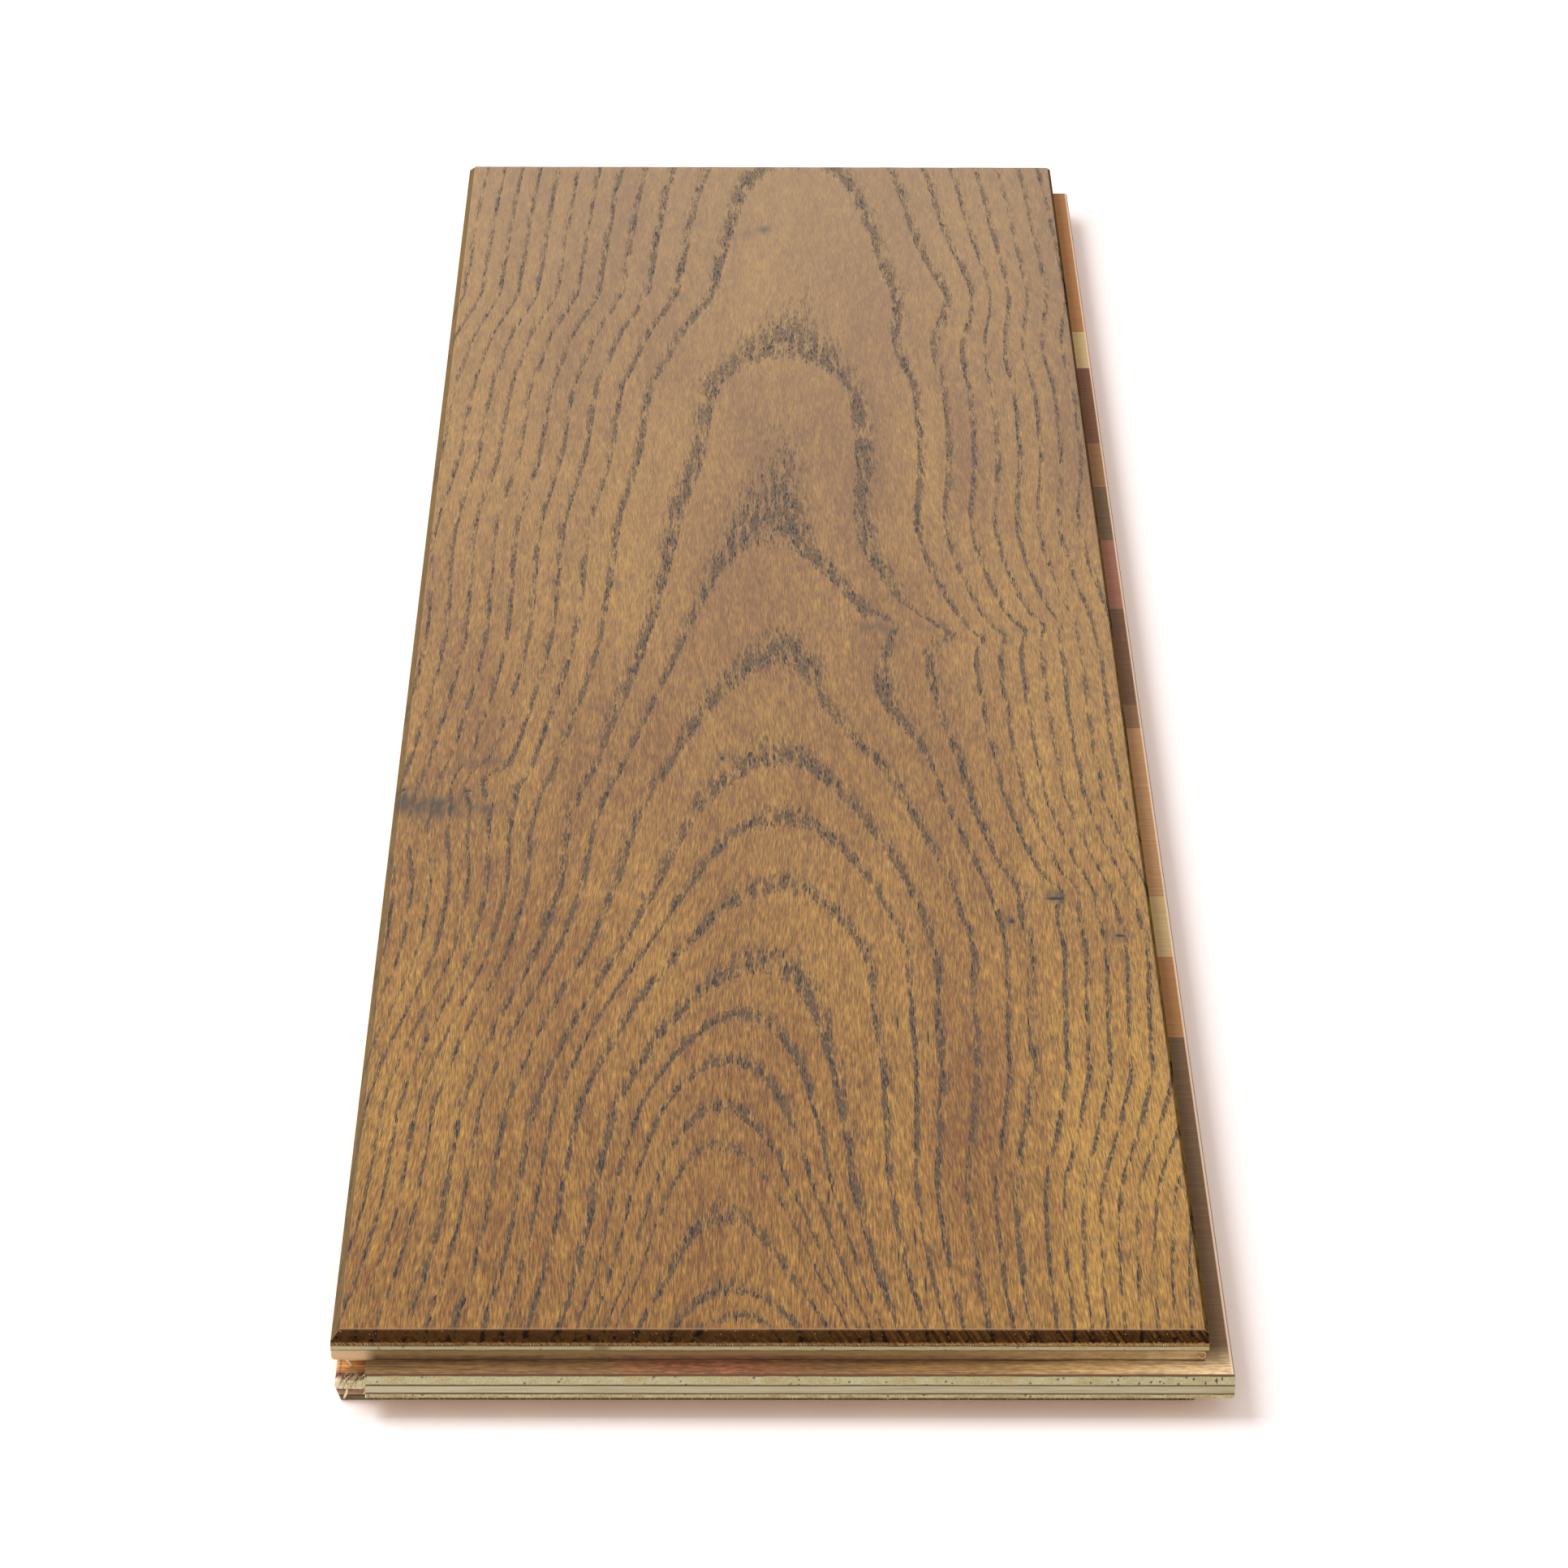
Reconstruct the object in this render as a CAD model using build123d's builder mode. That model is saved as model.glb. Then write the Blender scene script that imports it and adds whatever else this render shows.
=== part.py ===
"""Engineered floorboard: an oak wear layer on a cross-laminated plywood core.

The board lies flat, oak face up. A tongue runs along its right side and its near end,
and a groove along its left side and its far end. Each layer is a sheet of veneer,
trimmed by the two milled sections that shape the glued board.
"""

import os

from build123d import *

# Driving dimensions, in millimetres.

# Covered face, joint face to joint face.
face_width = 150.0
face_length = 600.0

# Layers, from the walked-on oak down to the backing.
wear_layer_thickness = 2.25
core_ply_1_thickness = 0.95
core_ply_2_thickness = 2.45
core_ply_3_thickness = 1.9
core_ply_4_thickness = 1.6
core_ply_5_thickness = 2.75
core_ply_6_thickness = 1.1
backing_ply_thickness = 1.0

# Bevels along the oak's edges.
long_tongue_bevel = 0.8
long_groove_bevel = 1.5
end_tongue_bevel = 1.5
end_groove_bevel = 1.5

# Tongue. A thin skin of the second core ply is left on top of it.
tongue_projection = 4.25
tongue_thickness = 4.54
tongue_skin = 0.13
tongue_nose_radius = 0.4
long_tongue_underside_radius = 0.9
end_tongue_underside_radius = 0.2
tongue_root_radius = 0.5

# The joint face stands proud of the wood behind the tongue, above it and below it.
relief_depth = 0.85
long_lower_setback = 2.05
end_lower_setback = 1.65
lower_edge_radius = 0.3

# Groove that takes the next board's tongue.
groove_clearance = 0.12
groove_end_clearance = 1.8
groove_end_radius = 0.4
upper_lip_radius = 0.65
lower_lip_setback = 0.4
lower_lip_radius = 0.65
lower_lip_bevel_width = 1.05
lower_lip_bevel_height = 2.9

# Sizes that follow from them.
layers = [
    ("oak_wear_layer", wear_layer_thickness),
    ("core_ply_1", core_ply_1_thickness),
    ("core_ply_2", core_ply_2_thickness),
    ("core_ply_3", core_ply_3_thickness),
    ("core_ply_4", core_ply_4_thickness),
    ("core_ply_5", core_ply_5_thickness),
    ("core_ply_6", core_ply_6_thickness),
    ("backing_ply", backing_ply_thickness),
]
board_thickness = sum(thickness for _, thickness in layers)
overall_width = face_width + tongue_projection
overall_length = face_length + tongue_projection

# Heights above the underside.
relief_top = board_thickness - wear_layer_thickness - core_ply_1_thickness
tongue_top = relief_top - core_ply_2_thickness + tongue_skin
tongue_bottom = tongue_top - tongue_thickness
groove_ceiling = tongue_top + groove_clearance
groove_floor = tongue_bottom - groove_clearance
groove_depth = tongue_projection + groove_end_clearance
# The round on the lower lip stays within the flat above its bevel.
lip_round = min(lower_lip_radius, 0.9 * (groove_floor - lower_lip_bevel_height))


def milled_section(span, tongue_bevel, groove_bevel, lower_setback, tongue_underside_radius):
    """Section across a pair of edges: groove at the left, tongue at the right, underside at zero."""
    groove_face = -(span + tongue_projection) / 2
    joint_face = groove_face + span
    nose = joint_face + tongue_projection
    groove_end = groove_face + groove_depth
    lower_lip = groove_face + lower_lip_setback
    lower_face = joint_face - lower_setback
    relief_face = joint_face - relief_depth
    with BuildSketch() as section:
        with BuildLine():
            Polyline(
                (lower_lip + lower_lip_bevel_width, 0),
                (lower_face, 0),
                (lower_face, tongue_bottom),
                (nose, tongue_bottom),
                (nose, tongue_top),
                (relief_face, tongue_top),
                (relief_face, relief_top),
                (joint_face, relief_top),
                (joint_face, board_thickness - tongue_bevel),
                (joint_face - tongue_bevel, board_thickness),
                (groove_face + groove_bevel, board_thickness),
                (groove_face, board_thickness - groove_bevel),
                (groove_face, groove_ceiling),
                (groove_end, groove_ceiling),
                (groove_end, groove_floor),
                (lower_lip, groove_floor),
                (lower_lip, lower_lip_bevel_height),
                close=True,
            )
        make_face()
        rounded_corners = [
            (nose, tongue_bottom, tongue_underside_radius),
            (nose, tongue_top, tongue_nose_radius),
            (relief_face, tongue_top, tongue_root_radius),
            (lower_face, 0, lower_edge_radius),
            (groove_face, groove_ceiling, upper_lip_radius),
            (groove_end, groove_ceiling, groove_end_radius),
            (groove_end, groove_floor, groove_end_radius),
            (lower_lip, groove_floor, lip_round),
        ]
        for x, y, radius in rounded_corners:
            fillet(section.vertices().sort_by_distance((x, y))[0], radius)
    return section.sketch


# The near end looks towards -Y, so the end section runs that way.
end_plane = Plane(origin=(0, 0, 0), x_dir=(0, -1, 0), z_dir=(-1, 0, 0))
side_section = milled_section(
    face_width, long_tongue_bevel, long_groove_bevel, long_lower_setback, long_tongue_underside_radius
)
end_section = milled_section(
    face_length, end_tongue_bevel, end_groove_bevel, end_lower_setback, end_tongue_underside_radius
)


def milled_layer(underside, thickness):
    """One sheet of veneer, trimmed along both sides and then along both ends."""
    with BuildPart() as layer:
        with BuildSketch(Plane.XY.offset(underside)):
            Rectangle(overall_width, overall_length)
        extrude(amount=thickness)
        with BuildSketch(Plane.XZ):
            add(side_section)
        extrude(amount=overall_length, both=True, mode=Mode.INTERSECT)
        with BuildSketch(end_plane):
            add(end_section)
        extrude(amount=overall_width, both=True, mode=Mode.INTERSECT)
    return layer.part


os.makedirs("parts", exist_ok=True)
underside = board_thickness
for name, thickness in layers:
    underside -= thickness
    layer = milled_layer(underside, thickness)
    layer.label = name
    export_step(layer, f"parts/{name}.step")
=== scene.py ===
import math
from functools import partial

import bpy
import numpy as np
from bpy.props import FloatProperty, FloatVectorProperty, IntProperty, PointerProperty
from mathutils import Matrix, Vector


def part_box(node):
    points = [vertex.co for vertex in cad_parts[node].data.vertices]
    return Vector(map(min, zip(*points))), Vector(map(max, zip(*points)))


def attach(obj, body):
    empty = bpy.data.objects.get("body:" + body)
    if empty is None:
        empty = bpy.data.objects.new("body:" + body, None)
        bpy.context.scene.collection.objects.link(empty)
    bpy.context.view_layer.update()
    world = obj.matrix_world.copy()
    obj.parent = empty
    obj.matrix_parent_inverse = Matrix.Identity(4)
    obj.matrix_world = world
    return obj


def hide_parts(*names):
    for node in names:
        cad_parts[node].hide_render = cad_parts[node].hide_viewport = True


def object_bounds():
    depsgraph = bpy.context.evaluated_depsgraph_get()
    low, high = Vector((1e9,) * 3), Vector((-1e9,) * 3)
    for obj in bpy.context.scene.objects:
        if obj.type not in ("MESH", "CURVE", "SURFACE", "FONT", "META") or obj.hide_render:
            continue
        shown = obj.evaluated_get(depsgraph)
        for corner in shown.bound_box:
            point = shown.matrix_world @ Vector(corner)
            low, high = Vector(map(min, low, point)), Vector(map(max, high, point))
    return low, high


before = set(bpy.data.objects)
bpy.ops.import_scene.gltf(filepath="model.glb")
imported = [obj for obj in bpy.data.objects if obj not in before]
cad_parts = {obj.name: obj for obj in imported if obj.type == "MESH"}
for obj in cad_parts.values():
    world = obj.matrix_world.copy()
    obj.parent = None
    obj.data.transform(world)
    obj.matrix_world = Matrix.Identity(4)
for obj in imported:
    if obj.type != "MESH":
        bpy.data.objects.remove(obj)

bl_info = {
    "name": "Engineered floorboard",
    "version": (1, 0, 0),
    "blender": (4, 5, 0),
    "location": "View3D > Sidebar > Floorboard",
    "description": "Brushed oak floorboard on a plywood core, with its torn fibres and a plain studio",
    "category": "Object",
}

MM = 0.001
CAD_BOX = [list(corner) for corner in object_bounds()]

# Corners of the board and of its oak layer, in millimetres.
BOARD_LOW, BOARD_HIGH = (np.array(corner) / MM for corner in CAD_BOX)
OAK_LOW, OAK_HIGH = (np.array(corner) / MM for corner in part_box("oak_wear_layer"))

# Places on the oak face are given across, from the middle of its width, and along, from its near end.
OAK_MIDDLE = (OAK_LOW[0] + OAK_HIGH[0]) / 2
NEAR_END = OAK_LOW[1]

# Bevels round the oak face, as milled.
NEAR_BEVEL = 1.5
FAR_BEVEL = 1.5
LEFT_BEVEL = 1.5
RIGHT_BEVEL = 0.8

# Groove on the left and far sides, with its lower lip, and tongue on the others, as milled.
GROOVE_DEPTH = 6.05
GROOVE_END = BOARD_LOW[0] + GROOVE_DEPTH
GROOVE_FLOOR = 3.82
TONGUE_TOP = 8.48
TONGUE_UNDERSIDE = 3.94
LIP_EDGE = BOARD_LOW[0] + 0.4
LIP_FRONT = NEAR_END + 1.65

# Pith of the log, below the face: (along, depth).
PITH_DEPTH = (
    (-20, 1), (0, 10), (20, 17.3), (100, 28.6), (137, 33.5), (172, 39), (203, 43.2), (232, 46.6),
    (284, 51.7), (353, 56.7), (400, 57.5), (440, 58.1), (463, 60), (485, 61.2), (506, 62.2), (555, 63.6),
    (580, 64.4), (606, 65.7), (760, 72),
)
# Heart line, where the arches have their tips: (along, across).
HEART_LINE = (
    (0, -5), (40, -8), (60, -9), (80, -9), (100, -7.5), (120, -5), (155, 1), (185, 3), (215, 3), (231, 4),
    (285, 4.8), (355, 1), (400, 4), (470, 5.5), (510, 10), (600, 10),
)
# How far the rings are drawn out on either side of it: (along, share).
LEFT_SPREAD = ((0, 0.96), (60, 0.86), (120, 0.86), (170, 0.93), (210, 1), (600, 1))
RIGHT_SPREAD = (
    (0, 0.83), (45, 0.92), (100, 1.06), (150, 1.02), (200, 0.95), (235, 0.93), (290, 0.97), (350, 1),
    (600, 1),
)
# Radius at which each growth ring starts, and the width of the even rings beyond.
RING_STARTS = (12.5, 15.6, 20.7, 24.5, 26.1, 28.5, 30.9, 33.5, 39, 43.3, 46.6, 51.7, 56.7, 60, 65.6)
OUTER_RING = 3.4
# Where the figure is pushed aside: (across, along, half width, half length, rings).
SWIRLS = (
    (22, 262, 12, 30, 0.6),
    (48, 500, 11, 36, -0.7),
    (-58, 223, 6, 8, -1.0),
    (57, 172, 7, 6, -0.7),
)
# A wavering row of pin knots across the board bends the rings of its right half in a sharp V.
KNOT_ROW_ALONG = 299
KNOT_ROW_WAVER = 4
KNOT_ROW_CREST = 29
KNOT_ROW_WAVE = 5.5
KNOT_ROW_STARTS = (18, 26)
KNOT_ROW_FADES = (58, 72)
KNOT_ROW_REACH = 6
KNOT_ROW_RINGS = 0.85
# Dark places on the face: (across, along, half width, half length, darkness).
SMEARS = (
    (56.4, 170.6, 2.8, 2.8, 0.7), (47.3, 159.3, 2.2, 2.4, 0.65), (68.0, 152.3, 2.6, 2.2, 0.65),
    (-73.5, 213.0, 4.0, 5.0, 1.1), (-66.5, 210.5, 5.5, 4.8, 1.1), (-57.5, 210.0, 4.5, 2.8, 0.7),
    (-59.5, 218.5, 2.2, 1.6, 0.4), (-57.5, 232.0, 6.0, 1.8, 0.45), (-66.0, 226.0, 2.2, 3.5, 0.4),
    (-8.8, 234.5, 1.3, 2.4, 0.85), (0.8, 551.0, 1.6, 3.0, 0.7), (-3.0, 548.0, 4.0, 5.0, 0.25),
    (24.5, 301.0, 4.0, 3.0, 0.4), (37.0, 302.0, 2.4, 2.0, 0.35), (53.5, 300.0, 2.4, 3.0, 0.35),
)
# Fine cracks and open knots, drawn near black: (across, along, half width, half length).
CRACKS = (
    (24.4, 116, 0.22, 4), (30, 110, 0.22, 4.5), (10.6, 48, 0.22, 3.5), (25.6, 34, 0.24, 4.5),
    (22.5, 27, 0.2, 3.5), (27, 17, 0.24, 4), (56.5, 169.0, 2.4, 0.9), (47.6, 159.0, 0.7, 1.2),
    (68.2, 152.8, 1.2, 0.8), (-74.0, 218.8, 1.6, 1.1), (-60.2, 218.2, 1.0, 0.5), (-8.8, 234.0, 0.5, 1.2),
)


def linear(code):
    """Linear RGBA of an sRGB hex colour."""
    parts = [int(code[i:i + 2], 16) / 255 for i in (1, 3, 5)]
    return [c / 12.92 if c <= 0.04045 else ((c + 0.055) / 1.055) ** 2.4 for c in parts] + [1.0]


def colour(name, description, code):
    """Colour property with an sRGB hex default."""
    return FloatVectorProperty(
        name=name, description=description, subtype="COLOR", size=4, min=0, max=1, default=linear(code)
    )


def size(name, description, millimetres):
    """Length property with its default given in millimetres."""
    return FloatProperty(
        name=name, description=description, default=millimetres * MM, min=0, unit="LENGTH", precision=5
    )


class FloorboardOak(bpy.types.PropertyGroup):
    """Oak face: its tones, and the sizes of its brushed grain."""

    golden: colour("Golden wood", "Lightest wood between the rings", "#AA7F36")
    brown: colour("Brown wood", "Darker, redder wood between the rings", "#774A18")
    early: colour("Early wood", "Porous wood at the start of each ring, grey with stain", "#705A40")
    pore: colour("Stained pores", "Open pores, dark with stain", "#483826")
    crack: colour("Cracks", "Open cracks and knots", "#1E1510")
    bevel: colour("Stained bevel", "End grain of the bevels, which drinks the stain", "#583A1C")
    raw: colour("Raw edge", "Unstained saw cut below the bevel", "#A87C48")
    pore_width: size("Pore width", "Width of a cluster of pores", 0.36)
    pore_length: size("Pore length", "Length of a cluster of pores", 4.2)
    fibre_width: size("Fibre width", "Width of the fine brushed streaks", 0.24)
    fibre_length: size("Fibre length", "Length of the fine brushed streaks", 3.8)
    relief: size("Brushed relief", "How deep the brush cut the soft early wood", 0.09)
    arris: size("Worn arris", "How far the brush rounded the edge above a bevel", 0.12)


class FloorboardCore(bpy.types.PropertyGroup):
    """Plywood core: its tones and glue lines."""

    pale: colour("Pale veneer", "Lightest of the core veneers", "#BFB891")
    cream: colour("Cream veneer", "Thin veneer under the oak", "#BCB38B")
    brown: colour("Brown veneer", "Veneer with the tongue's top", "#9A7245")
    orange: colour("Glazed groove floor", "Wood that the cutter rubbed to a glaze", "#BC8448")
    backing: colour("Backing veneer", "Veneer under the board", "#7C6A48")
    glue: colour("Glue line", "Cured resin between two veneers", "#4A3022")
    glue_width: size("Glue line width", "Resin and stained wood on one side of a joint", 0.15)
    fibre_width: size("Veneer fibre width", "Width of the streaks along a veneer", 0.4)
    fibre_length: size("Veneer fibre length", "Length of the streaks along a veneer", 12.0)


class FloorboardFibres(bpy.types.PropertyGroup):
    """Fibres that the cutter tore and left standing."""

    tone: colour("Torn fibre", "Bare wood of a torn fibre", "#E9DAB4")
    spacing: size("Fibre spacing", "Distance between fibres along a torn edge", 0.3)
    thickness: size("Fibre thickness", "Radius of a fibre at its root", 0.11)
    seed: IntProperty(name="Seed", description="Chooses another set of fibres", default=7, min=0)


class FloorboardStage(bpy.types.PropertyGroup):
    """Studio: its paper floor and its lamps."""

    paper: colour("Paper", "Matt white paper under the board", "#FAFBFF")
    room: colour("Room colour", "Colour of the light all round", "#FFF9F4")
    key_power: FloatProperty(
        name="Key light", description="Power of the soft box", default=22, min=0, unit="POWER"
    )
    fill_power: FloatProperty(
        name="Fill light", description="Power of the low lamp in front", default=6, min=0, unit="POWER"
    )
    ambient: FloatProperty(
        name="Room light", description="Strength of the light all round", default=0.65, min=0
    )
    glow: colour("Paper glow", "Warm light in the paper, which shows in the board's shadow", "#62340D")


def put(tree, kind, *inputs, out=0, stops=(), **settings):
    """Add a node, set it, fill or link its inputs, give a ramp its stops, and return one of its outputs.

    Inputs come in the node's order, or as one mapping by number or name. A shader node goes by its
    short name.
    """
    node = tree.nodes.new(kind if "Node" in kind else "ShaderNode" + kind)
    for name, value in settings.items():
        setattr(node, name, value)
    given = inputs[0] if inputs and isinstance(inputs[0], dict) else dict(enumerate(inputs))
    for key, value in given.items():
        if isinstance(value, bpy.types.NodeSocket):
            tree.links.new(value, node.inputs[key])
        else:
            node.inputs[key].default_value = value
    for _ in stops[2:]:
        node.color_ramp.elements.new(0.5)
    for i, (at, shade) in enumerate(stops):
        node.color_ramp.elements[i].position = at
        node.color_ramp.elements[i].color = shade
    return node.outputs[out] if node.outputs else None


def overlaid(add, wood, *layers):
    """Wood with other tones laid over it in order, each by its share."""
    for share, tone in layers:
        wood = add("Mix", {0: share, 6: wood, 7: tone}, data_type="RGBA", out=2)
    return wood


def spot(add, mm, centre, halves, darkness=1.0):
    """Darkness of a soft oval spot with this centre and these half sizes."""
    shift = add("VectorMath", mm, centre, operation="SUBTRACT")
    scaled = add("VectorMath", shift, halves, operation="DIVIDE")
    away = add("VectorMath", scaled, operation="LENGTH", out=1)
    return add("MapRange", away, 0.4, 1.1, darkness, 0.0, interpolation_type="SMOOTHSTEP")


def blank_material(name):
    """Empty node material, and the helper that adds nodes to it."""
    material = bpy.data.materials.new(name)
    material.use_nodes = True
    material.node_tree.nodes.clear()
    return material, partial(put, material.node_tree)


def dress(piece, material):
    """Give a piece one material in place of any that it has."""
    piece.data.materials.clear()
    piece.data.materials.append(material)


def eased(points, at):
    """Value at each place on a smooth curve through given points that never overshoots them."""
    xs, ys = np.array(points, float).T
    step = np.diff(xs)
    slope = np.diff(ys) / step
    same = slope[1:] * slope[:-1] > 0
    tangent = np.zeros_like(xs)
    total = np.where(same, slope[1:] + slope[:-1], 1.0)
    tangent[1:-1] = np.where(same, 2 * slope[1:] * slope[:-1] / total, 0.0)
    tangent[0], tangent[-1] = slope[0], slope[-1]
    i = np.clip(np.searchsorted(xs, at) - 1, 0, len(step) - 1)
    t = (at - xs[i]) / step[i]
    start = (1 + 2 * t) * (1 - t) ** 2 * ys[i] + t * (1 - t) ** 2 * step[i] * tangent[i]
    return start + t * t * (3 - 2 * t) * ys[i + 1] + t * t * (t - 1) * step[i] * tangent[i + 1]


def rise(value, start, end):
    """Smooth step from 0 at start to 1 at end."""
    t = np.clip((value - start) / (end - start), 0, 1)
    return t * t * (3 - 2 * t)


def lattice_noise(x, y, seed):
    """Smooth noise from 0 to 1 with one cell per unit."""
    grid = np.random.default_rng(seed).random((64, 64))
    i, j = np.floor(x).astype(int), np.floor(y).astype(int)
    u, v = rise(x - i, 0, 1), rise(y - j, 0, 1)
    corner = [grid[(i + a) % 64, (j + b) % 64] for a in (0, 1) for b in (0, 1)]
    return (corner[0] * (1 - v) + corner[1] * v) * (1 - u) + (corner[2] * (1 - v) + corner[3] * v) * u


def growth_rings(across, along):
    """Ring count at each place on the face. A new ring starts, dark and sharp, at each whole number."""
    offset = across - eased(HEART_LINE, along)
    spread = np.where(offset < 0, eased(LEFT_SPREAD, along), eased(RIGHT_SPREAD, along))
    radius = np.hypot(eased(PITH_DEPTH, along), offset / spread)
    outer = [RING_STARTS[-1] + OUTER_RING * i for i in range(1, 15)]
    starts = [0, *RING_STARTS, *outer]
    rings = np.interp(radius, starts, range(len(starts)))
    for x, y, half_width, half_length, push in SWIRLS:
        rings += push * np.exp(-(((across - x) / half_width) ** 2) - ((along - y) / half_length) ** 2)
    from_row = along - KNOT_ROW_ALONG - KNOT_ROW_WAVER * np.cos((across - KNOT_ROW_CREST) / KNOT_ROW_WAVE)
    bend = KNOT_ROW_RINGS * rise(across, *KNOT_ROW_STARTS) * (1 - rise(across, *KNOT_ROW_FADES))
    return rings - bend * np.exp(-np.hypot(from_row, 1.5) / KNOT_ROW_REACH)


def golden_share(across, along):
    """How golden the wood is at each place, from 0, brown, to 1: the sides more than the heart."""
    left = 0.08 * rise(-across, 40, 72)
    heart = 0.14 * (1 - rise(np.abs(across), 10, 40)) * (1 - rise(along, 100, 260))
    right = 0.42 * rise(across, 49, 54) * (1 - rise(along, 130, 420))
    drift = 0.5 * lattice_noise(across / 12 + 9, along / 80, 21)
    drift += 0.25 * lattice_noise(across / 3, along / 35, 22)
    return np.clip(drift - 0.1 + left + heart + right, 0, 1)


def smears(across, along):
    """Darkness of the soft stains round the knots at each place, from 0 to 1."""
    dark = np.zeros_like(across)
    for x, y, half_width, half_length, darkness in SMEARS:
        smear = np.exp(-(((across - x) / half_width) ** 2) - ((along - y) / half_length) ** 2)
        dark = np.maximum(dark, darkness * smear)
    return dark * (0.3 + 1.4 * lattice_noise(across, along / 3, 31))


BEVEL_STEPS = 3
CELL_ACROSS = 0.62
CELL_ALONG = 2.0


def stations(low, high, first_bevel, last_bevel, cell):
    """Grid lines from edge to edge, with lines of their own on the bevels."""
    inner = np.linspace(low + first_bevel, high - last_bevel, round((high - low) / cell) + 1)
    first = np.linspace(low, low + first_bevel, BEVEL_STEPS, endpoint=False)
    last = np.linspace(high, high - last_bevel, BEVEL_STEPS, endpoint=False)[::-1]
    return np.concatenate([first, inner, last])


def oak_mesh(look):
    """Closed sheet of oak with its bevels and brushed relief, and its figure on every point."""
    xs = stations(OAK_LOW[0], OAK_HIGH[0], LEFT_BEVEL, RIGHT_BEVEL, CELL_ACROSS)
    ys = stations(OAK_LOW[1], OAK_HIGH[1], NEAR_BEVEL, FAR_BEVEL, CELL_ALONG)
    x, y = np.meshgrid(xs, ys)
    columns, rows = len(xs), len(ys)
    across, along = x - OAK_MIDDLE, y - NEAR_END
    rings = growth_rings(across, along)
    along_rate = (growth_rings(across, along + 1) - growth_rings(across, along - 1)) / 2
    across_rate = growth_rings(across + 0.5, along) - growth_rings(across - 0.5, along)
    figure = {
        "rings": rings,
        # Share of a ring by which a strand may start early or late: most where the ring crosses the grain.
        "comb": 0.06 + 0.2 * np.abs(along_rate) / np.hypot(along_rate, across_rate + 1e-6),
        "sway": 5 * lattice_noise(across / 35, along / 110, 41) - 2.5,
        "golden": golden_share(across, along),
        "crowd": lattice_noise(across / 8, along / 26, 43) - 0.5,
        "stain": smears(across, along),
    }

    # How far each place lies inside the top line of the nearest bevel.
    inside = np.minimum.reduce([
        x - OAK_LOW[0] - LEFT_BEVEL,
        OAK_HIGH[0] - RIGHT_BEVEL - x,
        y - OAK_LOW[1] - NEAR_BEVEL,
        OAK_HIGH[1] - FAR_BEVEL - y,
    ])
    early_wood = np.exp(-(rings % 1.0) / 0.18)
    brushed = early_wood * (0.35 + 0.65 * lattice_noise(x / 1.1, y / 7, 3))
    ripple = lattice_noise(x / 0.9, y / 26, 5)
    sunk = look.relief / MM * (0.75 * brushed + 0.25 * ripple) * np.clip(inside / 1.5, 0, 1)
    edge_wear_and_highlight = 0.4 + 0.6 * lattice_noise(x / 3, y / 3, 9)
    sunk += look.arris / MM * np.exp(-np.abs(inside) / 0.45) * edge_wear_and_highlight
    sunk += np.where(inside < -0.1, 0.1 * lattice_noise(x / 0.9, y / 0.9, 11), 0)
    z = OAK_HIGH[2] + np.minimum(inside, 0) - sunk

    top = np.column_stack([x.ravel(), y.ravel(), z.ravel()])
    index = np.arange(rows * columns).reshape(rows, columns)
    corners = [index[:-1, :-1], index[:-1, 1:], index[1:, 1:], index[1:, :-1]]
    quads = np.stack(corners, axis=-1).reshape(-1, 4)
    rim = np.concatenate([index[0, :-1], index[:-1, -1], index[-1, :0:-1], index[:0:-1, 0]])
    under = top[rim].copy()
    under[:, 2] = OAK_LOW[2]
    low_rim = rows * columns + np.arange(len(rim))
    walls = np.stack([low_rim, np.roll(low_rim, -1), np.roll(rim, -1), rim], axis=-1)

    # The underside is strips across the board, and its end strips take every point of the rim.
    lower = dict(zip(rim.tolist(), low_rim.tolist()))
    left = [lower[i] for i in index[:, 0].tolist()]
    right = [lower[i] for i in index[:, -1].tolist()]
    strips = [[left[r], left[r + 1], right[r + 1], right[r]] for r in range(1, rows - 2)]
    strips.append([lower[i] for i in index[0, ::-1].tolist()] + [left[1], right[1]])
    strips.append([lower[i] for i in index[-1].tolist()] + [right[-2], left[-2]])

    mesh = bpy.data.meshes.new("oak_face")
    points = np.vstack([top, under]) * MM
    mesh.from_pydata(points.tolist(), [], quads.tolist() + walls.tolist() + strips)
    for name, values in figure.items():
        flat = np.concatenate([values.ravel(), values.ravel()[rim]]).astype(np.float32)
        mesh.attributes.new(name, "FLOAT", "POINT").data.foreach_set("value", flat)
    mesh.polygons.foreach_set("use_smooth", np.ones(len(mesh.polygons), bool))
    mesh.set_sharp_from_angle(angle=math.radians(32))
    return mesh


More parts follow.
